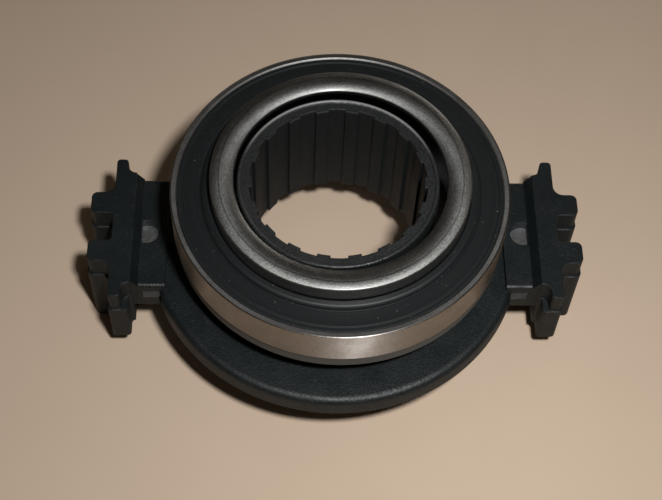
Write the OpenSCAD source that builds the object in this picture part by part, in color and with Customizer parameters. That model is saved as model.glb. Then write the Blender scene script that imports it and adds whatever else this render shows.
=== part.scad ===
// Self-centring clutch release bearing: a moulded carrier that slides on a guide tube, and a
// sealed ball bearing that floats on the carrier's seat. Z is the bore axis, z = 0 the lobes' feet.

/* [Guide sleeve] */
// Diameter of the bore over its rib tips, which run on the guide tube
guide_d = 35.5; // [34.5:0.1:36.5]
// Height of a rib above the bore's valleys
rib_h = 0.55; // [0.4:0.05:0.7]
// Width of a rib
rib_w = 2.7; // [2:0.1:3.4]
// Number of ribs around the bore
rib_count = 18; // [12:1:22]
// Wall of the sleeve, outside the valleys
sleeve_wall = 2.2; // [1.8:0.05:2.6]
// Height of the sleeve's lower end above the feet
sleeve_foot_z = 12.8; // [12:0.1:14]
// Depth that the sleeve's top lies below the crown of the contact bead
sleeve_drop = 2.4; // [2:0.1:4]
// Width of the round lip at the sleeve's mouth
mouth_w = 0.9; // [0.6:0.05:1.2]
// Overhang of that lip beyond the sleeve's outside
mouth_out = 0.3; // [0.15:0.05:0.4]

/* [Carrier] */
// Height of the flange's underside above the feet
flange_z = 14.4; // [14:0.1:15]
// Thickness of the flange
flange_t = 4.6; // [4:0.1:5.4]
// Reach of the flange beyond the bearing's outside
flange_over = 5; // [4:0.1:6]
// Radius of the flange's top edge
flange_edge = 1.7; // [0.8:0.1:2.2]
// Height of the bearing seat above the flange
seat_h = 6.2; // [5.4:0.1:7]
// Depth that the seat stays behind the bearing's outside
seat_in = 5; // [4:0.1:6]
// Wall of the hollow seat and of the flange's skin
skin = 2.4; // [2:0.1:3]
// Number of stiffening webs under the flange
web_count = 16; // [8:4:20]
// Thickness of a stiffening web
web_t = 1.6; // [1.2:0.1:2]

/* [Ears] */
// Half width of an ear along Y
ear_half = 13.6; // [12.2:0.1:15]
// Height of an ear's underside, which the fork presses, above the feet
ear_z = 12.8; // [11.4:0.1:14]
// Rise of an ear's top above the flange
ear_rise = 1.2; // [0.8:0.1:1.6]
// Distance of an ear's inner edge inside the flange's rim
ear_in = 3.85; // [3:0.05:4.5]
// Radius of the ear's top edges
ear_edge = 0.9; // [0.4:0.1:1.4]
// Diameter of the hole on top of an ear
ear_hole_d = 5.6; // [5:0.1:6]
// Distance of the ear hole's centre outside the flange's rim
ear_hole_out = 0.6; // [0.3:0.1:1]

/* [Fork plates] */
// Thickness of a fork plate
plate_t = 2.4; // [2:0.1:2.6]
// Width of a fork plate
plate_w = 6; // [5.4:0.1:6.2]
// Width of the tongue at each end of a fork plate
tongue_w = 4; // [3:0.1:4.6]
// Length of each tongue
tongue_l = 2.4; // [1.6:0.1:3]
// Distance of the plate's middle inside the flange's rim
plate_in = 1; // [0.8:0.1:1.2]
// Depth of the plate under the ear's top
plate_depth = 2.1; // [1.8:0.1:2.6]
// Gap between a plate and its pocket
plate_gap = 0.02; // [0.01:0.01:0.05]

/* [Wings] */
// Height of the wings' top above the feet
wing_top = 22.5; // [21:0.1:24]
// Height of the wings' lower edge above the feet
wing_z = 6; // [4:0.1:8]
// Gap between the flange's rim and the wing's inner face
wing_gap = 3.3; // [2.9:0.1:4]
// Width of the slope that rises from an ear to its wing
slope_w = 1.55; // [1.2:0.05:1.8]
// Thickness of a wing between its ends
wing_t = 4.8; // [4.4:0.1:5.6]
// Reach of a wing's thick middle beyond the ear
mid_over = 0.2; // [0.1:0.05:0.6]
// Length of the tabs at a wing's ends
tab_l = 3.8; // [3.4:0.1:4.4]
// Thickness of the tabs above the parting step
tab_t = 2.5; // [2.2:0.1:2.8]
// Thickness of the tabs below the parting step
tab_low_t = 4.05; // [3.6:0.05:4.3]
// Radius of a tab's corners
tab_round = 0.8; // [0.4:0.1:1]
// Reach of a lobe beyond the wing
lobe_out = 4.9; // [4:0.1:6]
// Width of a lobe
lobe_w = 5.95; // [5:0.05:6.6]
// Distance between the two lobes of a wing
lobe_gap = 6.1; // [5:0.1:7]
// Radius of a lobe's corners
lobe_round = 1.3; // [0.6:0.1:2]
// Radius of the coves between the lobes and the wing's ends
cove_r = 2.2; // [1:0.1:2.6]
// Radius of the coves in the gap between the lobes
gap_cove_r = 0.9; // [0.4:0.1:1.6]
// Height of the parting step above the feet
parting_z = 17; // [15:0.1:18]
// Depth of the parting step
parting_in = 0.35; // [0.1:0.05:0.5]

/* [Bearing] */
// Radial gap between the sleeve and the contact bead's inner edge
lip_gap = 1.55; // [1.4:0.05:2]
// Overhang of the bead inside the inner ring's bore
lip_in = 0.95; // [0.5:0.05:1.2]
// Metal behind the inner race
inner_wall = 2.7; // [2.4:0.05:3.2]
// Metal behind the outer race
outer_wall = 2.7; // [2.4:0.05:3.2]
// Diameter of a ball
ball_d = 6.4; // [6:0.1:6.8]
// Number of balls
ball_count = 20; // [16:1:20]
// Height of a race shoulder above the bottom of its groove
shoulder_h = 1.1; // [0.8:0.05:1.3]
// Gap between a ball and each race
ball_gap = 0.1; // [0.05:0.01:0.15]
// Thickness of the outer ring's floor
floor_t = 1.6; // [1.2:0.1:2]
// Outer radius of the corner between the outer ring's wall and floor
floor_round = 4.5; // [3:0.1:4.8]
// Chamfer on the outer ring's top edge
rim_chamfer = 0.3; // [0.2:0.05:0.6]
// Width of the outer ring's rim around the seal
rim_w = 1.6; // [1.2:0.1:1.9]
// Rise of the contact bead's crown above the outer ring
bead_rise = 4.5; // [4:0.1:5.4]
// Radius of the contact bead's crowned face
bead_r = 6.5; // [4.5:0.1:10]
// Height of the bead's inward lip
lip_h = 2.3; // [2:0.1:2.8]
// Distance that the bearing stands off centre, towards +X, in its self-centring play
bearing_shift = 0.5; // [0:0.1:0.7]

/* [Seal and cage] */
// Thickness of the seal
seal_t = 1.3; // [1:0.05:1.6]
// Depth of the seal below the outer ring's rim
seal_drop = 0.4; // [0.2:0.05:0.6]
// Gap between the seal's lip and the inner ring
seal_gap = 0.15; // [0.1:0.05:0.3]
// Gap between the seal and its seat in the outer ring
seal_fit = 0.02; // [0.01:0.01:0.05]
// Width of the raised lip ring of the seal
seal_lip_w = 1.7; // [1.2:0.1:2.2]
// Height of the raised lip ring
seal_lip_h = 0.9; // [0.5:0.1:1.2]
// Width of the two grooves around the seal
groove_w = 0.5; // [0.3:0.05:0.7]
// Depth of the grooves
groove_d = 0.25; // [0.1:0.05:0.4]
// Distance of the outer groove from the seal's outside
groove_in = 0.7; // [0.4:0.05:0.9]
// Gap between the cage and the rings
cage_gap = 0.45; // [0.3:0.05:0.6]
// Gap between a ball and its pocket in the cage
pocket_gap = 0.15; // [0.1:0.05:0.25]
// Thickness of the cage's back over the balls
cage_back = 0.9; // [0.6:0.05:1.2]
// Reach of the cage's prongs below the balls' centres
prong_l = 1.6; // [1:0.1:2]

/* [Spring and retainer] */
// Thickness of the wave spring's strip
spring_t = 0.5; // [0.3:0.05:0.6]
// Height of the spring's waves
spring_wave = 0.65; // [0.4:0.05:0.8]
// Number of waves
spring_waves = 3; // [2:1:4]
// Width of the spring's strip
spring_w = 3.2; // [2.4:0.1:3.4]
// Gap between the spring and the sleeve
spring_gap = 1.3; // [1.2:0.05:1.4]
// Thickness of the retaining ring
retainer_t = 0.9; // [0.7:0.05:1.1]
// Depth of the retaining ring's groove in the sleeve
retainer_in = 0.5; // [0.3:0.05:0.7]
// Reach of the retaining ring beyond the sleeve
retainer_out = 3.9; // [3.4:0.1:4.2]
// Angle of the split in the retaining ring
retainer_split = 14; // [8:1:24]
// Play between pieces that slide on each other
slip = 0.05; // [0.03:0.01:0.08]

/* [Hidden] */
$fn = 96;
// Margin by which cutting shapes pass through a face
cut = 1;
// Steps in which a wave of the spring is drawn
wave_steps = 32;

// Radii, worked outwards from the guide tube
tip_r = guide_d / 2;
valley_r = tip_r + rib_h;
sleeve_r = valley_r + sleeve_wall;
lip_r = sleeve_r + lip_gap;
inner_bore_r = lip_r + lip_in;
inner_race_r = inner_bore_r + inner_wall;
inner_shoulder_r = inner_race_r + shoulder_h;
pitch_r = inner_race_r + ball_gap + ball_d / 2;
outer_race_r = pitch_r + ball_d / 2 + ball_gap;
outer_shoulder_r = outer_race_r - shoulder_h;
outer_r = outer_race_r + outer_wall;
floor_r = sleeve_r + lip_gap;
race_curve = ball_d / 2 + ball_gap;
flange_r = outer_r + flange_over;
seat_r = outer_r - seat_in;

// Heights, worked upwards from the feet
flange_top = flange_z + flange_t;
ear_top = flange_top + ear_rise;
seat_z = flange_top + seat_h;
outer_z = seat_z + slip;
floor_top = outer_z + floor_t;
spring_z = floor_top + slip;
retainer_z = spring_z + spring_t + spring_wave + slip;
retainer_top = retainer_z + retainer_t;
inner_z = retainer_top + cage_gap;
ball_z = inner_z + ball_d / 2 - shoulder_h;
cage_top = ball_z + ball_d / 2 + pocket_gap + cage_back;
seal_z = cage_top + cage_gap;
seal_top = seal_z + seal_t;
rim_z = seal_top + seal_drop;
crown_z = rim_z + bead_rise;
sleeve_top = crown_z - sleeve_drop;

// Places of the ears, plates and wings
ear_x = flange_r - ear_in;
wing_in = flange_r + wing_gap;
wing_out = wing_in + wing_t;
slope_x = wing_in - slope_w;
plate_x = flange_r - plate_in;
plate_z = ear_top - plate_depth - plate_t;
mid_half = ear_half + mid_over;
wing_half = mid_half + tab_l;
lobe_low_y = lobe_gap / 2;
lobe_high_y = lobe_low_y + lobe_w;

function ball_name(i) = str("ball_", i < 10 ? "0" : "", i);

// Flat shape that fills the inner corner at the origin, towards +X and +Y, with a round of radius r
module cove(r) {
    difference() {
        square(r);
        translate([r, r]) circle(r);
    }
}

// Flat rectangle between two corners, with round corners
module round_rect(low, high, r) {
    translate([low.x + r, low.y]) square([high.x - low.x - 2 * r, high.y - low.y]);
    translate([low.x, low.y + r]) square([high.x - low.x, high.y - low.y - 2 * r]);
    for (x = [low.x + r, high.x - r], y = [low.y + r, high.y - r]) translate([x, y]) circle(r);
}

// Flat ring section between two radii and two heights
module section(r_in, r_out, z_low, z_high) {
    translate([r_in, z_low]) square([r_out - r_in, z_high - z_low]);
}

// Takes a piece to where the bearing stands in its play
module at_bearing() {
    translate([bearing_shift, 0, 0]) children();
}

// The round body of the carrier, without its bore
module carrier_round() {
    rotate_extrude() difference() {
        union() {
            section(0, sleeve_r, sleeve_foot_z, sleeve_top);
            translate([sleeve_r + mouth_out - mouth_w / 2, sleeve_top]) circle(d = mouth_w);
            section(0, seat_r, flange_z, seat_z);
            section(0, flange_r, flange_z, flange_top);
        }
        translate([flange_r, flange_top]) rotate(180) cove(flange_edge);
        section(sleeve_r - retainer_in, outer_r, retainer_z - slip, retainer_top + slip);
    }
}

// The hollows under the seat and the flange, with webs left standing between them
module underside_hollow() {
    difference() {
        rotate_extrude() {
            section(sleeve_r + skin, seat_r - skin, flange_z - cut, seat_z - skin);
            section(sleeve_r + skin, flange_r - skin, flange_z - cut, flange_top - skin);
        }
        for (i = [0 : web_count - 1]) rotate((i + 0.5) * 360 / web_count)
            translate([0, -web_t / 2, 0]) cube([flange_r, web_t, seat_z]);
    }
}

// The ribbed bore as a solid
module bore() {
    translate([0, 0, sleeve_foot_z - cut]) {
        h = sleeve_top - sleeve_foot_z + 2 * cut;
        cylinder(r = tip_r, h = h);
        difference() {
            cylinder(r = valley_r, h = h);
            for (i = [0 : rib_count - 1]) rotate(i * 360 / rib_count)
                translate([0, -rib_w / 2, -cut]) cube([valley_r + cut, rib_w, h + 2 * cut]);
        }
    }
}

// The ear on the +X side, up to the wing, with round top edges and the slope to the wing
module ear() {
    translate([seat_r, -ear_half, ear_z]) cube([wing_in - seat_r, 2 * ear_half, flange_top - ear_z]);
    rotate([90, 0, 90]) translate([0, 0, ear_x]) linear_extrude(wing_in - ear_x + parting_in) difference() {
        translate([-ear_half, ear_z]) square([2 * ear_half, ear_top - ear_z]);
        for (side = [0, 1]) mirror([side, 0]) translate([ear_half, ear_top]) rotate(180) cove(ear_edge);
    }
    translate([0, ear_half, 0]) rotate([90, 0, 0]) linear_extrude(2 * ear_half)
        polygon([[slope_x, ear_top - cut], [wing_in + cut, ear_top - cut],
                 [wing_in + cut, wing_top], [wing_in, wing_top], [slope_x, ear_top]]);
}

// The hole on top of the +X ear as a solid, cut straight along the foot of the slope
module ear_hole() {
    h = plate_depth + plate_t;
    translate([0, 0, plate_z + plate_t / 2]) intersection() {
        translate([flange_r + ear_hole_out, 0, 0]) cylinder(d = ear_hole_d, h = h);
        translate([ear_x, -ear_half, 0]) cube([slope_x - ear_x, 2 * ear_half, h]);
    }
}

// Plan of the +X wing without its lobes, its outside drawn in by the given step
module wing_plan(step, tab) {
    out = wing_out - step;
    half = wing_half - step;
    tab_x = out - tab;
    translate([wing_in, -mid_half]) square([wing_t - step, 2 * mid_half]);
    round_rect([tab_x, -half], [out, half], tab_round);
    for (side = [0, 1]) mirror([0, side]) {
        translate([tab_x, mid_half]) mirror([1, 0]) cove(tab_x - wing_in);
        translate([out, lobe_high_y - step]) cove(cove_r);
        translate([out, lobe_low_y + step]) mirror([0, 1]) cove(gap_cove_r);
    }
}

// Plan of the +X wing's lobes, their outside drawn in by the given step
module lobe_plan(step) {
    for (side = [0, 1]) mirror([0, side])
        round_rect([wing_out - tab_t, lobe_low_y + step], [wing_out + lobe_out - step, lobe_high_y - step],
            lobe_round);
}

// The wing on the +X side, whose lobes reach down as feet
module wing() {
    linear_extrude(parting_z) lobe_plan(0);
    translate([0, 0, wing_z]) linear_extrude(parting_z - wing_z) wing_plan(0, tab_low_t);
    translate([0, 0, parting_z - cut]) linear_extrude(wing_top - parting_z + cut) {
        wing_plan(parting_in, tab_t);
        lobe_plan(parting_in);
    }
}

// Outline of a fork plate on the +X side, grown by a gap, with tongues of the given reach
module plate_shape(gap, reach) {
    half = ear_half - tongue_l;
    translate([plate_x - plate_w / 2 - gap, -half - gap, plate_z - gap])
        cube([plate_w + 2 * gap, 2 * (half + gap), plate_t + 2 * gap]);
    translate([plate_x - tongue_w / 2 - gap, -reach, plate_z - gap])
        cube([tongue_w + 2 * gap, 2 * reach, plate_t + 2 * gap]);
}

module carrier() {
    color([0.07, 0.08, 0.08]) difference() {
        union() {
            difference() {
                carrier_round();
                underside_hollow();
            }
            for (side = [0, 1]) mirror([side, 0, 0]) {
                ear();
                wing();
            }
        }
        bore();
        for (side = [0, 1]) mirror([side, 0, 0]) {
            plate_shape(plate_gap, flange_r);
            ear_hole();
        }
    }
}

module fork_plate(side) {
    color([0.62, 0.63, 0.62]) mirror([side, 0, 0]) plate_shape(0, ear_half);
}

module outer_ring() {
    color([0.68, 0.66, 0.63]) at_bearing() rotate_extrude() difference() {
        section(floor_r, outer_r, outer_z, rim_z);
        section(0, outer_shoulder_r, floor_top, rim_z + cut);
        section(0, outer_r - rim_w, seal_z, rim_z + cut);
        translate([pitch_r, ball_z]) circle(race_curve);
        translate([outer_r, outer_z]) mirror([1, 0]) cove(floor_round);
        translate([outer_r, rim_z]) rotate(180) polygon([[-cut, -cut], [rim_chamfer, -cut], [rim_chamfer, 0],
            [0, rim_chamfer], [-cut, rim_chamfer]]);
    }
}

module inner_ring() {
    bead_mid_r = (lip_r + inner_shoulder_r) / 2;
    color([0.6, 0.6, 0.57]) at_bearing() rotate_extrude() difference() {
        union() {
            section(inner_bore_r, inner_shoulder_r, inner_z, crown_z - lip_h / 2);
            intersection() {
                section(lip_r, inner_shoulder_r, crown_z - lip_h, crown_z);
                translate([bead_mid_r, crown_z - bead_r]) circle(bead_r);
            }
        }
        translate([pitch_r, ball_z]) circle(race_curve);
    }
}

module seal() {
    lip_in_r = inner_shoulder_r + seal_gap;
    lip_out_r = lip_in_r + seal_lip_w;
    seal_r = outer_r - rim_w - seal_fit;
    color([0.09, 0.1, 0.1]) at_bearing() rotate_extrude() difference() {
        union() {
            section(lip_in_r, seal_r, seal_z, seal_top);
            section(lip_in_r, lip_out_r, seal_z, seal_top + seal_lip_h);
        }
        translate([lip_out_r, seal_top + seal_lip_h]) rotate(180) cove(seal_lip_h);
        section(lip_out_r, lip_out_r + groove_w, seal_top - groove_d, seal_top + cut);
        section(seal_r - groove_in - groove_w, seal_r - groove_in, seal_top - groove_d, seal_top + cut);
    }
}

module cage() {
    color([0.35, 0.3, 0.2]) at_bearing() difference() {
        rotate_extrude() section(inner_shoulder_r + cage_gap, outer_shoulder_r - cage_gap,
            ball_z - prong_l, cage_top);
        for (i = [1 : ball_count]) place_ball(i) sphere(d = ball_d + 2 * pocket_gap);
    }
}

// Takes a shape to the centre of a ball
module place_ball(i) {
    rotate((i - 0.5) * 360 / ball_count) translate([pitch_r, 0, ball_z]) children();
}

module ball(i) {
    color([0.72, 0.72, 0.72]) at_bearing() place_ball(i) sphere(d = ball_d);
}

// A strip bent into a ring, whose height follows a wave
module wave_spring() {
    steps = wave_steps * spring_waves;
    r_in = sleeve_r + spring_gap;
    r_out = r_in + spring_w;
    corners = [[r_in, 0], [r_out, 0], [r_out, spring_t], [r_in, spring_t]];
    points = [for (k = [0 : steps - 1], c = corners)
        let (a = 360 * k / steps, lift = spring_wave * (1 - cos(spring_waves * a)) / 2)
        [c[0] * cos(a), c[0] * sin(a), spring_z + lift + c[1]]];
    faces = [for (k = [0 : steps - 1], j = [0 : 3])
        let (n = (k + 1) % steps, m = (j + 1) % 4)
        [4 * k + j, 4 * n + j, 4 * n + m, 4 * k + m]];
    color([0.55, 0.55, 0.56]) at_bearing() polyhedron(points, faces, convexity = 4);
}

module retaining_ring() {
    color([0.5, 0.5, 0.52]) difference() {
        rotate_extrude() section(sleeve_r - retainer_in + slip, sleeve_r + retainer_out, retainer_z, retainer_top);
        rotate(-90) linear_extrude(retainer_top + cut)
            polygon([[0, 0], 2 * outer_r * [cos(retainer_split / 2), -sin(retainer_split / 2)],
                     2 * outer_r * [cos(retainer_split / 2), sin(retainer_split / 2)]]);
    }
}

carrier();
fork_plate(1);  // fork_plate_left
fork_plate(0);  // fork_plate_right
outer_ring();
inner_ring();
seal();
cage();
wave_spring();
retaining_ring();
for (i = [1 : ball_count]) ball(i);
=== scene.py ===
"""Looks of a clutch release bearing: turned rings, balls, wave spring, finishes, studio and camera."""

import math

import bmesh
import bpy
from mathutils import Matrix, Vector


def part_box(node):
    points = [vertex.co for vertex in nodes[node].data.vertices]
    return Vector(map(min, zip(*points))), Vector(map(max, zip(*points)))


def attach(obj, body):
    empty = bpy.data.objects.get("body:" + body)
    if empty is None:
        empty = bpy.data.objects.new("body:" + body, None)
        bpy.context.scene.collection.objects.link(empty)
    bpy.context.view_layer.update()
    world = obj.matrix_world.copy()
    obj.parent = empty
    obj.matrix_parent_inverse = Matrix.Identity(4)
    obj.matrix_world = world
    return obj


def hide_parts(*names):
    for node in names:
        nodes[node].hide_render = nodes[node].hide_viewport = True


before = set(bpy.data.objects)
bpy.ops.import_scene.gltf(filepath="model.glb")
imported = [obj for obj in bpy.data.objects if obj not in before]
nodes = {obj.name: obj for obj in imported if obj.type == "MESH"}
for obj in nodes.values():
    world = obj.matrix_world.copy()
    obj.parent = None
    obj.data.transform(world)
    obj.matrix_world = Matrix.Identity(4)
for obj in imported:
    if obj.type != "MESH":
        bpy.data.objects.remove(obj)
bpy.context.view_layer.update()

MM = 0.001

# Camera that matches the photograph, in pixels, degrees and metres
IMAGE_W = 662
SENSOR_MM = 36.0
FOCAL_PX = 1455.4
ELEVATION = 58.69
HEADING = 3.11
ROLL = 2.98
DISTANCE = 0.32625
ASIDE = -0.00077
UPWARD = 0.003639
AIM_LEVEL = 0.006
CLIP_START = 0.01

# Main light, near the camera: its place, target and size in metres, spread in degrees and power in watts
LIGHT_PLACE = (0.043, -0.152, 0.346)
LIGHT_TARGET = (0.03, -0.04, 0)
LIGHT_SIZE = 0.03
LIGHT_POWER = 0.46
LIGHT_COLOUR = (1, 1, 1)
LIGHT_SPREAD = 110

# Weak warm light from behind, in the same units
FILL_PLACE = (0.25, 0.5, 0.13)
FILL_TARGET = (0, 0.03, 0.02)
FILL_SIZE = 0.2
FILL_POWER = 0.03
FILL_COLOUR = (1, 0.93, 0.84)
FILL_SPREAD = 60

# Light of the room, and the width of the floor card in metres
ROOM_COLOUR = (1.0, 0.82, 0.6)
ROOM_STRENGTH = 0.03
CARD_W = 6

# Steps around a turned ring and across each of its rounded corners, and around and along a ball
RING_STEPS = 192
CORNER_STEPS = 4
BALL_SEGMENTS = 28
BALL_RINGS = 14

# Rounding of the edges of a turned ring, in mm
EDGE_ROUND = 0.16

# Outer ring, in mm: its floor, stepped foot, bright band, rim and ball shoulder
FLOOR_IN_R = 22.05
FLOOR_T = 1.6
FOOT_CHAMFER_W = 0.9
FOOT_CHAMFER_H = 0.7
FOOT_IN = 0.25
BAND_FOOT = 3.8
RIM_W = 1.15
RIM_EASE = 0.3
RIM_CHAMFER = 0.12
OUTER_SHOULDER_R = 31.2

# Balls and the races that they run in, in mm
PITCH_R = 29.0
BALL_R = 3.2
BALL_COUNT = 20
RACE_R = 3.3
RACE_STEPS = 14

# Contact ring, in mm: its bore, inward lip and crown
BORE_R = 23.0
LIP_R = 21.85
LIP_H = 1.9
CROWN_R = 24.5
CROWN_IN_R = 4.4
CROWN_OUT_R = 5.2
CROWN_EDGE = 0.4
CROWN_STEPS = 6

# Seal, in mm: its face, its lip, the gap to the contact ring and its two grooves
SEAL_T = 1.3
SEAL_REACH = 0.15
SEAL_GAP = 0.15
SEAL_LIP_W = 1.7
SEAL_LIP_ROUND = 0.85
GROOVE_W = 0.5
GROOVE_D = 0.25
GROOVE_IN = 0.7
GROOVE_ROUND = 0.1

# Wave spring, in mm
SPRING_T = 0.5
SPRING_W = 3.2
SPRING_ROUND = 0.1
SPRING_WAVES = 3

# Radii, levels and places along Y past which a finish changes, in mm
DULL_RIM_R = 34.66
# Radius and level below which painted shade darkens the contact ring's bore
BORE_SHADE_R = 23.2
BORE_SHADE_Z = 40.2
SLEEVE_END_Z = 39.3
SLEEVE_LIP_Z = 40.0
SLEEVE_LIP_R = 19.9
# Radius inside which the sleeve's mouth takes the painted highlight
SLEEVE_HIGHLIGHT_R = 20.3
PLATE_END_Y = 13.2

# Widths over which one finish fades into the next, in mm
SOFT_FADE = 0.3
SHARP_FADE = 0.2
BORE_FADE = 0.4
FOOT_FADE = 0.1

# Places along Y between which the painted highlight on the sleeve's mouth grows, in mm, and its share before
# them
HIGHLIGHT_START_Y = 6.0
HIGHLIGHT_FULL_Y = 15.0
HIGHLIGHT_LEAST = 0.06

# Worn line on the crown, in mm: its radius, how far it sways, its core and its soft edge
WORN_LINE_R = 25.0
WORN_LINE_SWAY = 0.12
WORN_LINE_CORE = 0.06
WORN_LINE_EDGE = 0.22

# Span that a noise keeps within nearly everywhere, and samples for a softened edge
NOISE_LOW = 0.3
NOISE_HIGH = 0.7
EDGE_SAMPLES = 6

# Colours of the finishes, as linear red, green and blue
NYLON_DARK = (0.0048, 0.0072, 0.0078)
NYLON_LIGHT = (0.008, 0.011, 0.0116)
NYLON_FLECK = (0.02, 0.023, 0.023)
NYLON_SPECKLE = (0.03, 0.03, 0.029)
# Light colour painted as a highlight on the far side of the sleeve's mouth
NYLON_PAINTED_HIGHLIGHT = (0.24, 0.24, 0.232)
# Band steel colours, with a warm tint painted as the reflection of a brown floor
BAND_STEEL_PAINTED_WARM_DARK = (0.33, 0.3, 0.276)
BAND_STEEL_PAINTED_WARM_LIGHT = (0.43, 0.4, 0.372)
BAND_PORE_PAINTED_WARM = (0.2, 0.182, 0.168)
RIM_DARK = (0.22, 0.22, 0.214)
RIM_LIGHT = (0.32, 0.32, 0.312)
FOOT_PHOSPHATE = (0.066, 0.066, 0.064)
BEAD_DARK = (0.22, 0.22, 0.212)
BEAD_LIGHT = (0.285, 0.285, 0.274)
BEAD_PORE = (0.08, 0.08, 0.077)
BEAD_WORN = (0.04, 0.04, 0.038)
# Painted shade on the contact ring's bore below its lip
BEAD_BORE_PAINTED_SHADE = (0.03, 0.03, 0.029)
RUBBER_BLACK = (0.0055, 0.007, 0.0078)
RUBBER_DUST = (0.05, 0.052, 0.05)
PLATE_DARK = (0.4, 0.41, 0.42)
PLATE_LIGHT = (0.5, 0.51, 0.52)
# Plate end colours: painted shade, tinted blue as a painted reflection
SHEAR_PAINTED_SHADE_DARK = (0.03, 0.041, 0.06)
SHEAR_PAINTED_SHADE_LIGHT = (0.085, 0.107, 0.145)
SPRING_DARK = (0.2, 0.2, 0.22)
SPRING_LIGHT = (0.34, 0.33, 0.33)
BALL_DARK = (0.58, 0.58, 0.58)
BALL_LIGHT = (0.68, 0.68, 0.67)
CAGE_DARK = (0.2, 0.13, 0.05)
CAGE_LIGHT = (0.28, 0.19, 0.08)
CARD_DARK = (0.545, 0.42, 0.315)
CARD_LIGHT = (0.57, 0.445, 0.335)


def size(node):
    """Centre along X and Y, outer radius, lowest and highest level of a round node, in mm."""
    low, high = (Vector(c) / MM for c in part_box(node))
    middle = (low + high) / 2
    return middle.x, middle.y, (high.x - low.x) / 2, low.z, high.z


def wire(tree, kind, inputs=(), **settings):
    """Adds a node, links the inputs that are sockets and sets the others."""
    made = tree.nodes.new(kind)
    for name, value in settings.items():
        setattr(made, name, value)
    for port, value in dict(inputs).items():
        if isinstance(value, bpy.types.NodeSocket):
            tree.links.new(value, made.inputs[port])
        else:
            made.inputs[port].default_value = value
    return made


def open_tree(name, result, ports):
    """A Geometry Nodes tree with named inputs, its input sockets and their identifiers."""
    tree = bpy.data.node_groups.new(name, "GeometryNodeTree")
    keys = {}
    for port, kind in ports:
        socket = tree.interface.new_socket(port, in_out="INPUT", socket_type="NodeSocket" + kind)
        keys[port] = socket.identifier
    tree.interface.new_socket(result, in_out="OUTPUT", socket_type="NodeSocketGeometry")
    return tree, tree.nodes.new("NodeGroupInput").outputs, keys


def close_tree(tree, shape, finish):
    """Ends a tree in smooth, realized faces that carry a finish."""
    smooth = wire(tree, "GeometryNodeSetShadeSmooth", {"Geometry": shape})
    real = wire(tree, "GeometryNodeRealizeInstances", {"Geometry": smooth.outputs[0]})
    painted = wire(tree, "GeometryNodeSetMaterial", {"Geometry": real.outputs[0], "Material": finish})
    wire(tree, "NodeGroupOutput", {0: painted.outputs[0]})


def turned_ring_tree():
    """A closed profile with rounded corners, swept around a circle whose level may follow a wave."""
    tree, given, keys = open_tree("turned_ring", "Ring", (
        ("Profile", "Geometry"), ("Steps", "Int"), ("Corner steps", "Int"), ("Path radius", "Float"),
        ("Centre", "Vector"), ("Waves", "Float"), ("Wave height", "Float"), ("Finish", "Material")))
    outline = wire(tree, "GeometryNodeMeshToCurve", {"Mesh": given["Profile"]})
    corner = wire(tree, "GeometryNodeInputNamedAttribute", {"Name": "round"}, data_type="FLOAT")
    rounded = wire(tree, "GeometryNodeFilletCurve", {
        "Curve": outline.outputs[0], "Count": given["Corner steps"],
        "Radius": corner.outputs["Attribute"], "Limit Radius": True}, mode="POLY")
    path = wire(tree, "GeometryNodeCurvePrimitiveCircle", {
        "Resolution": given["Steps"], "Radius": given["Path radius"]}, mode="RADIUS")
    swept = wire(tree, "GeometryNodeCurveToMesh", {
        "Curve": path.outputs["Curve"], "Profile Curve": rounded.outputs[0]})
    spot = wire(tree, "ShaderNodeSeparateXYZ", {0: wire(tree, "GeometryNodeInputPosition").outputs[0]})
    angle = wire(tree, "ShaderNodeMath", {0: spot.outputs["Y"], 1: spot.outputs["X"]}, operation="ARCTAN2")
    turns = wire(tree, "ShaderNodeMath", {0: angle.outputs[0], 1: given["Waves"]}, operation="MULTIPLY")
    swing = wire(tree, "ShaderNodeMath", {0: turns.outputs[0]}, operation="COSINE")
    rise = wire(tree, "ShaderNodeMath", {0: swing.outputs[0], 1: -0.5, 2: 0.5}, operation="MULTIPLY_ADD")
    lift = wire(tree, "ShaderNodeMath", {0: rise.outputs[0], 1: given["Wave height"]}, operation="MULTIPLY")
    step = wire(tree, "ShaderNodeCombineXYZ", {"Z": lift.outputs[0]})
    waved = wire(tree, "GeometryNodeSetPosition", {"Geometry": swept.outputs[0], "Offset": step.outputs[0]})
    moved = wire(tree, "GeometryNodeTransform", {
        "Geometry": waved.outputs[0], "Translation": given["Centre"]})
    close_tree(tree, moved.outputs[0], given["Finish"])
    return tree, keys


def ball_set_tree():
    """Balls spaced evenly around a pitch circle, turned together about its centre."""
    tree, given, keys = open_tree("ball_set", "Balls", (
        ("Count", "Int"), ("Pitch radius", "Float"), ("Ball radius", "Float"),
        ("Centre", "Vector"), ("Turn", "Vector"), ("Finish", "Material")))
    circle = wire(tree, "GeometryNodeMeshCircle", {
        "Vertices": given["Count"], "Radius": given["Pitch radius"]})
    ball = wire(tree, "GeometryNodeMeshUVSphere", {
        "Segments": BALL_SEGMENTS, "Rings": BALL_RINGS, "Radius": given["Ball radius"]})
    placed = wire(tree, "GeometryNodeInstanceOnPoints", {
        "Points": circle.outputs["Mesh"], "Instance": ball.outputs["Mesh"]})
    moved = wire(tree, "GeometryNodeTransform", {
        "Geometry": placed.outputs[0], "Translation": given["Centre"], "Rotation": given["Turn"]})
    close_tree(tree, moved.outputs[0], given["Finish"])
    return tree, keys


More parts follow.
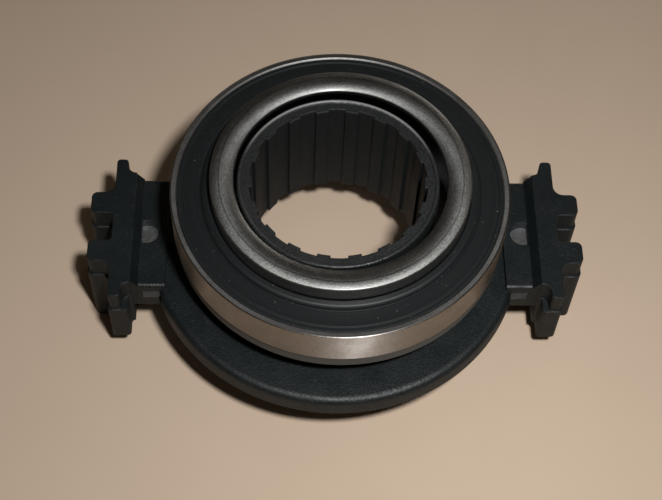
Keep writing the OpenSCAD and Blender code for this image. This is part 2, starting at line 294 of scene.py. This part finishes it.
def made_plain(obj):
    """Replaces an object's live tree by the mesh that it gives, with faces outward and even shading."""
    bpy.context.view_layer.update()
    graph = bpy.context.evaluated_depsgraph_get()
    mesh = bpy.data.meshes.new_from_object(obj.evaluated_get(graph))
    obj.modifiers.clear()
    obj.data = mesh
    work = bmesh.new()
    work.from_mesh(mesh)
    bmesh.ops.recalc_face_normals(work, faces=work.faces)
    work.to_mesh(mesh)
    normals = []
    for vert in work.verts:
        normals.append(sum((f.normal * f.calc_area() for f in vert.link_faces), Vector()).normalized())
    work.free()
    mesh.normals_split_custom_set_from_vertices(normals)


def shaped(name, mesh, tree_and_keys, values):
    """An object whose mesh a Geometry Nodes tree makes from the given sizes."""
    tree, keys = tree_and_keys
    obj = bpy.data.objects.new(name, mesh)
    bpy.context.collection.objects.link(obj)
    grow = obj.modifiers.new(tree.name, "NODES")
    grow.node_group = tree
    for port, value in values.items():
        grow[keys[port]] = value
    made_plain(obj)
    return obj


def turned(name, centre, profile, finish, waves=0.0, wave_height=0.0):
    """A ring turned from a profile of radius, level and corner rounding, in mm."""
    count = len(profile)
    path_r = sum(p[0] for p in profile) / count
    mesh = bpy.data.meshes.new(name)
    mesh.from_pydata([((r - path_r) * MM, -z * MM, 0) for r, z, _ in profile],
                     [(k, (k + 1) % count) for k in range(count)], [])
    mesh.attributes.new("round", "FLOAT", "POINT").data.foreach_set("value", [p[2] * MM for p in profile])
    return shaped(name, mesh, TURNED_RING, {
        "Steps": RING_STEPS, "Corner steps": CORNER_STEPS, "Path radius": path_r * MM,
        "Centre": (centre[0] * MM, centre[1] * MM, 0), "Waves": waves, "Wave height": wave_height * MM,
        "Finish": finish})


def race(shoulder_r, level, upward):
    """Points of a ball race between its two shoulders."""
    span = math.acos((shoulder_r - PITCH_R) / RACE_R)
    side = math.copysign(1, shoulder_r - PITCH_R)
    half = span if side > 0 else math.pi - span
    rise = 1 if upward else -1
    angles = [rise * half * (2 * k / RACE_STEPS - 1) for k in range(RACE_STEPS + 1)]
    return [(PITCH_R + side * RACE_R * math.cos(a), level + RACE_R * math.sin(a), 0) for a in angles]


def outer_ring(finish, level):
    """Outer ring: a cup with a stepped and chamfered foot, a ball race and a rim that holds the seal."""
    x, y, r, low, high = size("outer_ring")
    seal_z = size("seal")[3]
    foot_r = r - FOOT_IN
    rim_in = r - RIM_W - RIM_EASE
    profile = [(FLOOR_IN_R, low, EDGE_ROUND), (foot_r - FOOT_CHAMFER_W, low, 0),
               (foot_r, low + FOOT_CHAMFER_H, EDGE_ROUND), (foot_r, low + BAND_FOOT, 0)]
    profile += [(r, low + BAND_FOOT, EDGE_ROUND / 2), (r, high - RIM_CHAMFER, EDGE_ROUND),
                (r - RIM_CHAMFER, high, EDGE_ROUND), (r - RIM_W, high, EDGE_ROUND),
                (rim_in, high - RIM_EASE, EDGE_ROUND), (rim_in, seal_z, 0)]
    profile += [(OUTER_SHOULDER_R, seal_z, EDGE_ROUND), *race(OUTER_SHOULDER_R, level, False)]
    profile += [(OUTER_SHOULDER_R, low + FLOOR_T, 0), (FLOOR_IN_R, low + FLOOR_T, EDGE_ROUND)]
    return turned("outer_ring_turned", (x, y), profile, finish)


def contact_ring(finish, level):
    """Contact ring: the inner race, drawn up into a crowned bead with an inward lip."""
    x, y, r, low, high = size("inner_ring")
    profile = [(BORE_R, low, EDGE_ROUND), (r, low, EDGE_ROUND), *race(r, level, True)]
    outer_lean = math.asin((r - CROWN_R) / CROWN_OUT_R)
    inner_lean = math.asin((CROWN_R - LIP_R) / CROWN_IN_R)
    leans = [outer_lean * (1 - k / CROWN_STEPS) for k in range(CROWN_STEPS)]
    leans += [-inner_lean * k / CROWN_STEPS for k in range(CROWN_STEPS + 1)]
    for lean in leans:
        bend = CROWN_OUT_R if lean > 0 else CROWN_IN_R
        edge = CROWN_EDGE if lean in (leans[0], leans[-1]) else 0
        profile.append((CROWN_R + bend * math.sin(lean), high - bend * (1 - math.cos(lean)), edge))
    profile += [(LIP_R, high - LIP_H, EDGE_ROUND), (BORE_R, high - LIP_H, 0)]
    return turned("contact_ring_turned", (x, y), profile, finish)


def seal_ring(finish):
    """Seal: a flat ring with a raised inner lip and two fine grooves."""
    x, y, r, low, high = size("seal")
    r += SEAL_REACH
    lip_in = size("inner_ring")[2] + SEAL_GAP
    lip_out = lip_in + SEAL_LIP_W
    top = low + SEAL_T
    dip = top - GROOVE_D
    groove = r - GROOVE_IN - GROOVE_W
    profile = [(lip_in, low, 0), (r, low, 0), (r, top, EDGE_ROUND / 2)]
    profile += [(groove + GROOVE_W, top, GROOVE_ROUND), (groove + GROOVE_W, dip, GROOVE_ROUND),
                (groove, dip, GROOVE_ROUND), (groove, top, GROOVE_ROUND)]
    profile += [(lip_out + GROOVE_W, top, GROOVE_ROUND), (lip_out + GROOVE_W, dip, GROOVE_ROUND),
                (lip_out, dip, GROOVE_ROUND), (lip_out, high, SEAL_LIP_ROUND), (lip_in, high, EDGE_ROUND)]
    return turned("seal_turned", (x, y), profile, finish)


def wave_ring(finish):
    """Wave spring: a flat strip bent into a ring whose level rises and falls three times."""
    x, y, r, low, high = size("wave_spring")
    inner = r - SPRING_W
    top = low + SPRING_T
    profile = [(inner, low, SPRING_ROUND), (r, low, SPRING_ROUND), (r, top, SPRING_ROUND),
               (inner, top, SPRING_ROUND)]
    return turned("wave_spring_strip", (x, y), profile, finish, SPRING_WAVES, high - low - SPRING_T)


def ball_ring(finish, level):
    """All the balls of the bearing as one piece, the first half a step from the X axis."""
    x, y = size("outer_ring")[:2]
    return shaped("ball_ring", bpy.data.meshes.new("ball_ring"), BALL_SET, {
        "Count": BALL_COUNT, "Pitch radius": PITCH_R * MM, "Ball radius": BALL_R * MM,
        "Centre": (x * MM, y * MM, level * MM), "Turn": (0, 0, math.pi / BALL_COUNT), "Finish": finish})


class Finish:
    """A procedural finish: a Principled shader and the nodes that feed it, with sizes given in mm."""

    def __init__(self, name, constants, centre=(0, 0)):
        self.mat = bpy.data.materials.new(name)
        self.mat.use_nodes = True
        self.tree = self.mat.node_tree
        self.shader = self.tree.nodes["Principled BSDF"]
        for port, value in constants.items():
            self.shader.inputs[port].default_value = value
        given = wire(self.tree, "ShaderNodeTexCoord")
        facing = wire(self.tree, "ShaderNodeSeparateXYZ", {0: given.outputs["Normal"]})
        self.facing_up = self.magnitude(facing.outputs["Z"])
        self.spot = wire(self.tree, "ShaderNodeMapping", {
            "Vector": given.outputs["Object"], "Location": (-centre[0] * MM, -centre[1] * MM, 0)}).outputs[0]
        parts = wire(self.tree, "ShaderNodeSeparateXYZ", {0: self.spot})
        self.across = parts.outputs["Y"]
        self.level = parts.outputs["Z"]
        self.outward = wire(self.tree, "ShaderNodeCombineXYZ", {
            "X": parts.outputs["X"], "Y": parts.outputs["Y"]}).outputs[0]
        length = wire(self.tree, "ShaderNodeVectorMath", {0: self.outward}, operation="LENGTH")
        self.radius = length.outputs["Value"]
        self.round_spot = wire(self.tree, "ShaderNodeCombineXYZ", {
            "X": self.radius, "Y": self.level}).outputs[0]

    def noise(self, grain, detail=3.0, rough=0.5, around=False):
        """Noise with a size of grain; around gives marks that run round the axis."""
        return wire(self.tree, "ShaderNodeTexNoise", {
            "Vector": self.round_spot if around else self.spot, "Scale": 1 / (grain * MM),
            "Detail": detail, "Roughness": rough}).outputs["Fac"]

    def remap(self, value, low, high, to_low, to_high):
        """A value taken from one range to another, and held inside it."""
        return wire(self.tree, "ShaderNodeMapRange", {
            "Value": value, "From Min": low, "From Max": high,
            "To Min": to_low, "To Max": to_high}).outputs[0]

    def swing(self, noise, to_low, to_high):
        """A noise's usual span taken to a range of values."""
        return self.remap(noise, NOISE_LOW, NOISE_HIGH, to_low, to_high)

    def blend(self, mask, off, on):
        """A value that goes from one to another as a mask goes from 0 to 1."""
        return self.remap(mask, 0, 1, off, on)

    def above(self, place, edge, fade):
        """A mask that rises from 0 to 1 past an edge, within a fade."""
        return self.remap(place, edge * MM, (edge + fade) * MM, 0, 1)

    def below(self, place, edge, fade):
        """A mask that falls from 1 to 0 past an edge, within a fade."""
        return self.remap(place, edge * MM, (edge + fade) * MM, 1, 0)

    def reckon(self, kind, one, two=0.0):
        """One value worked out from two, or from the first alone."""
        return wire(self.tree, "ShaderNodeMath", {0: one, 1: two}, operation=kind).outputs[0]

    def sum(self, one, two):
        """Two values added."""
        return self.reckon("ADD", one, two)

    def both(self, one, two):
        """A mask where two masks meet."""
        return self.reckon("MULTIPLY", one, two)

    def magnitude(self, value):
        """A value without its sign."""
        return self.reckon("ABSOLUTE", value)

    def colours(self, share, low, high):
        """A colour between two, by a share."""
        low, high = (c if isinstance(c, bpy.types.NodeSocket) else (*c, 1) for c in (low, high))
        return wire(self.tree, "ShaderNodeMix", {0: share, 6: low, 7: high}, data_type="RGBA").outputs[2]

    def directions(self, share, low, high):
        """A direction between two, by a share."""
        return wire(self.tree, "ShaderNodeMix", {0: share, 4: low, 5: high}, data_type="VECTOR").outputs[1]

    def round_axis(self):
        """The direction that runs round the axis."""
        return wire(self.tree, "ShaderNodeTangent", direction_type="RADIAL", axis="Z").outputs[0]

    def bump(self, height, depth, strength, under=None):
        """A bumped normal, laid over another where one is given."""
        inputs = {"Height": height, "Distance": depth * MM, "Strength": strength}
        if under is not None:
            inputs["Normal"] = under
        return wire(self.tree, "ShaderNodeBump", inputs).outputs[0]

    def soft_edges(self, radius):
        """A normal that rounds sharp edges off."""
        return wire(self.tree, "ShaderNodeBevel", {"Radius": radius * MM}, samples=EDGE_SAMPLES).outputs[0]

    def feed(self, **links):
        """Links values to the shader's own inputs."""
        for port, value in links.items():
            self.tree.links.new(value, self.shader.inputs[port.replace("_", " ")])
        return self.mat


def moulded_nylon():
    """Black glass-filled nylon with a granular skin, a speckled sleeve end and a painted highlight that
    grows towards the far side of its mouth.
    """
    f = Finish("moulded_nylon", {"Specular IOR Level": 0.38})
    grain = f.noise(0.4, 4, 0.6)
    patch = f.noise(6)
    fleck = f.remap(f.noise(0.8, 2), 0.66, 0.74, 0, 1)
    end = f.above(f.level, SLEEVE_END_Z, SOFT_FADE)
    lip = f.both(f.above(f.level, SLEEVE_LIP_Z, SHARP_FADE), f.above(f.radius, SLEEVE_LIP_R, SHARP_FADE))
    speckle = f.both(f.remap(grain, 0.35, 0.65, 0.1, 0.8), end)
    mouth = f.both(lip, f.below(f.radius, SLEEVE_HIGHLIGHT_R, SHARP_FADE))
    # Painted highlight on the inner half of the sleeve's mouth, growing along Y towards the far side
    painted_mouth_highlight = f.both(mouth, f.remap(f.across, HIGHLIGHT_START_Y * MM, HIGHLIGHT_FULL_Y * MM, HIGHLIGHT_LEAST, 1))
    base = f.colours(patch, NYLON_DARK, NYLON_LIGHT)
    base = f.colours(fleck, base, NYLON_FLECK)
    base = f.colours(speckle, base, NYLON_SPECKLE)
    base = f.colours(painted_mouth_highlight, base, NYLON_PAINTED_HIGHLIGHT)
    rough = f.sum(f.swing(patch, 0.37, 0.46), f.swing(grain, -0.06, 0.1))
    rough = f.sum(rough, f.remap(f.facing_up, 0, 0.35, 0.22, 0))
    rough = f.sum(rough, f.blend(lip, 0, -0.15))
    normal = f.bump(grain, 0.12, 0.7, f.soft_edges(0.35))
    return f.feed(Base_Color=base, Roughness=rough, Normal=normal)


def ground_steel(centre, foot):
    """Bearing steel: a band ground round its axis between a dull turned rim and a phosphated foot."""
    f = Finish("ground_steel", {"Anisotropic Rotation": 0.25}, centre)
    lines = f.noise(0.22, 3, 0.7, around=True)
    tone = f.noise(4)
    grain = f.noise(0.4, 3, 0.65)
    dull = f.below(f.radius, DULL_RIM_R, SOFT_FADE)
    bare = f.above(f.level, foot - FOOT_FADE, FOOT_FADE)
    # The band's steel and pore colours carry a warm tint painted as the reflection of a brown floor
    band = f.colours(f.remap(lines, 0.25, 0.75, 0, 1), BAND_STEEL_PAINTED_WARM_DARK, BAND_STEEL_PAINTED_WARM_LIGHT)
    band = f.colours(f.remap(grain, 0.36, 0.56, 0.45, 0), band, BAND_PORE_PAINTED_WARM)
    rim = f.colours(f.remap(grain, 0.35, 0.6, 0, 1), RIM_DARK, RIM_LIGHT)
    base = f.colours(bare, FOOT_PHOSPHATE, f.colours(dull, band, rim))
    rough = f.sum(f.swing(lines, 0.31, 0.35), f.swing(tone, -0.03, 0.04))
    rough = f.sum(rough, f.blend(dull, 0, 0.11))
    rough = f.sum(rough, f.blend(bare, 0.2, 0))
    tangent = f.directions(dull, f.round_axis(), f.outward)
    normal = f.bump(lines, 0.008, 0.5, f.bump(grain, 0.02, 0.5))
    return f.feed(Base_Color=base, Metallic=bare, Roughness=rough, Tangent=tangent, Normal=normal,
                  Anisotropic=f.blend(dull, 1, 0.22))


def satin_steel(centre):
    """Contact bead steel: a fine satin grain, faint turning marks, a worn line and painted shade on the bore
    below the lip.
    """
    f = Finish("satin_steel", {
        "Metallic": 1.0, "Anisotropic": 0.5, "Coat Weight": 0.6, "Coat Roughness": 0.28}, centre)
    grain = f.noise(0.34, 4, 0.68)
    marks = f.noise(0.3, 2, 0.6, around=True)
    tone = f.noise(5)
    sway = f.swing(tone, (WORN_LINE_R - WORN_LINE_SWAY) * MM, (WORN_LINE_R + WORN_LINE_SWAY) * MM)
    off = f.magnitude(f.reckon("SUBTRACT", f.radius, sway))
    line = f.remap(off, WORN_LINE_CORE * MM, WORN_LINE_EDGE * MM, 0.55, 0)
    # Painted shade: the bore wall below the lip, in the gap beside the sleeve, is darkened
    bore = f.both(f.below(f.radius, BORE_SHADE_R, SOFT_FADE), f.below(f.level, BORE_SHADE_Z, BORE_FADE))
    base = f.colours(f.swing(tone, 0, 1), BEAD_DARK, BEAD_LIGHT)
    base = f.colours(f.remap(grain, 0.37, 0.56, 0.65, 0), base, BEAD_PORE)
    base = f.colours(line, base, BEAD_WORN)
    base = f.colours(bore, base, BEAD_BORE_PAINTED_SHADE)
    rough = f.sum(f.swing(grain, 0.43, 0.53), f.swing(marks, -0.03, 0.05))
    normal = f.bump(marks, 0.012, 0.4, f.bump(grain, 0.06, 0.8))
    return f.feed(Base_Color=base, Roughness=rough, Tangent=f.round_axis(), Normal=normal)


def seal_rubber(centre):
    """Black rubber with a half gloss on its face, fine marks round the axis and a few specks of dust."""
    f = Finish("seal_rubber", {"Specular IOR Level": 0.44}, centre)
    marks = f.noise(0.5, 2, 0.5, around=True)
    grain = f.noise(0.5)
    dust = f.remap(f.noise(0.7), 0.68, 0.74, 0, 1)
    base = f.colours(dust, RUBBER_BLACK, RUBBER_DUST)
    rough = f.sum(f.swing(marks, 0.41, 0.52), f.blend(dust, 0, 0.3))
    rough = f.sum(rough, f.remap(f.facing_up, 0.6, 0.98, 0.25, 0))
    normal = f.bump(marks, 0.02, 0.4, f.bump(grain, 0.03, 0.35))
    return f.feed(Base_Color=base, Roughness=rough, Normal=normal)


def plate_steel():
    """Pressed steel with a faint rolling grain, and ends cut by shearing that carry painted shade tinted
    blue as a painted reflection.
    """
    f = Finish("plate_steel", {"Metallic": 1.0})
    grain = f.noise(0.5, 4, 0.6)
    tone = f.noise(3, 2)
    # Painted shade with a blue painted reflection on the plate ends past PLATE_END_Y
    end_shade_mask = f.above(f.magnitude(f.across), PLATE_END_Y, SOFT_FADE)
    rolled = f.colours(f.swing(tone, 0, 1), PLATE_DARK, PLATE_LIGHT)
    painted_end_shade = f.colours(f.remap(tone, 0.35, 0.65, 0, 1), SHEAR_PAINTED_SHADE_DARK, SHEAR_PAINTED_SHADE_LIGHT)
    base = f.colours(end_shade_mask, rolled, painted_end_shade)
    normal = f.bump(tone, 0.04, 0.5, f.soft_edges(0.25))
    return f.feed(Base_Color=base, Roughness=f.swing(grain, 0.34, 0.46), Normal=normal)


def spring_steel():
    """Blued spring strip."""
    f = Finish("spring_steel", {"Metallic": 1.0})
    grain = f.noise(0.6, 3, 0.6)
    base = f.colours(f.noise(4, 2), SPRING_DARK, SPRING_LIGHT)
    normal = f.bump(grain, 0.01, 0.5)
    return f.feed(Base_Color=base, Roughness=f.swing(grain, 0.3, 0.46), Normal=normal)


def ball_steel():
    """Polished balls with the faintest clouding."""
    f = Finish("ball_steel", {"Metallic": 1.0})
    cloud = f.noise(2)
    base = f.colours(cloud, BALL_DARK, BALL_LIGHT)
    return f.feed(Base_Color=base, Roughness=f.swing(cloud, 0.06, 0.12))


def cage_nylon():
    """Amber cage nylon."""
    f = Finish("cage_nylon", {"Specular IOR Level": 0.5})
    cloud = f.noise(3)
    grain = f.noise(0.5)
    base = f.colours(cloud, CAGE_DARK, CAGE_LIGHT)
    normal = f.bump(grain, 0.03, 0.5, f.soft_edges(0.2))
    return f.feed(Base_Color=base, Roughness=f.swing(grain, 0.38, 0.55), Normal=normal)


def floor_card():
    """Plain card for the floor, a little uneven in tone."""
    f = Finish("floor_card", {"Roughness": 0.9, "Specular IOR Level": 0.2})
    return f.feed(Base_Color=f.colours(f.noise(20, 2), CARD_DARK, CARD_LIGHT))


def camera():
    """Adds the camera at the photograph's angle."""
    el, az, roll = (math.radians(a) for a in (ELEVATION, HEADING, ROLL))
    ahead = Vector((math.sin(az) * math.cos(el), math.cos(az) * math.cos(el), -math.sin(el)))
    right = Vector((math.cos(az), -math.sin(az), 0))
    up = right.cross(ahead)
    place = Vector((0, 0, AIM_LEVEL)) - ahead * DISTANCE + right * ASIDE + up * UPWARD
    rolled_right = right * math.cos(roll) + up * math.sin(roll)
    rolled_up = up * math.cos(roll) - right * math.sin(roll)
    data = bpy.data.cameras.new("camera")
    data.sensor_width = SENSOR_MM
    data.lens = FOCAL_PX / IMAGE_W * SENSOR_MM
    data.clip_start = CLIP_START
    cam = bpy.data.objects.new("camera", data)
    turn = Matrix((rolled_right, rolled_up, -ahead)).transposed()
    cam.matrix_world = Matrix.Translation(place) @ turn.to_4x4()
    bpy.context.collection.objects.link(cam)
    bpy.context.scene.camera = cam


def lamp(name, place, target, width, power, colour, spread):
    """Adds a round soft lamp that looks at a point."""
    data = bpy.data.lights.new(name, "AREA")
    data.shape = "DISK"
    data.size = width
    data.energy = power
    data.color = colour
    data.spread = math.radians(spread)
    obj = bpy.data.objects.new(name, data)
    obj.location = place
    obj.rotation_euler = (Vector(target) - Vector(place)).to_track_quat("-Z", "Y").to_euler()
    bpy.context.collection.objects.link(obj)


def studio():
    """Adds the floor, the lamps and the surrounding light."""
    scene = bpy.context.scene
    scene.view_settings.view_transform = "Standard"
    world = bpy.data.worlds.new("studio")
    world.use_nodes = True
    back = world.node_tree.nodes["Background"]
    back.inputs["Color"].default_value = (*ROOM_COLOUR, 1)
    back.inputs["Strength"].default_value = ROOM_STRENGTH
    scene.world = world
    lamp("key", LIGHT_PLACE, LIGHT_TARGET, LIGHT_SIZE, LIGHT_POWER, LIGHT_COLOUR, LIGHT_SPREAD)
    lamp("back_fill", FILL_PLACE, FILL_TARGET, FILL_SIZE, FILL_POWER, FILL_COLOUR, FILL_SPREAD)
    bpy.ops.mesh.primitive_plane_add(size=CARD_W)
    floor = bpy.context.object
    floor.name = "floor"
    floor.data.materials.append(floor_card())


def dress(finish, *names):
    """Gives CAD nodes a finish."""
    for name in names:
        data = nodes[name].data
        data.materials.clear()
        data.materials.append(finish)


def seat(piece, body, slot, *replaced):
    """Hangs a piece on its body and lets it stand for its nodes."""
    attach(piece, body)
    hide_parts(*replaced)


TURNED_RING = turned_ring_tree()
BALL_SET = ball_set_tree()
ball_nodes = sorted(n for n in nodes if n.startswith("ball_"))
ball_low, ball_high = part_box(ball_nodes[0])
ball_level = (ball_low[2] + ball_high[2]) / 2 / MM
bearing_x, bearing_y, _, ring_foot, _ = size("outer_ring")
axis = (bearing_x, bearing_y)
band_foot = ring_foot + BAND_FOOT

# Turned rings, balls and spring, each in place of its CAD nodes
seat(outer_ring(ground_steel(axis, band_foot), ball_level), "outer_race", "ground_steel", "outer_ring")
seat(seal_ring(seal_rubber(axis)), "outer_race", "seal_rubber", "seal")
seat(contact_ring(satin_steel(axis), ball_level), "contact_ring", "contact_steel", "inner_ring")
seat(ball_ring(ball_steel(), ball_level), "ball_set", "ball_steel", *ball_nodes)
seat(wave_ring(spring_steel()), "centring_spring", "spring_steel", "wave_spring")

# CAD nodes that keep their shape and get a finish
dress(moulded_nylon(), "carrier")
dress(plate_steel(), "fork_plate_left", "fork_plate_right", "retaining_ring")
dress(cage_nylon(), "cage")

camera()
studio()
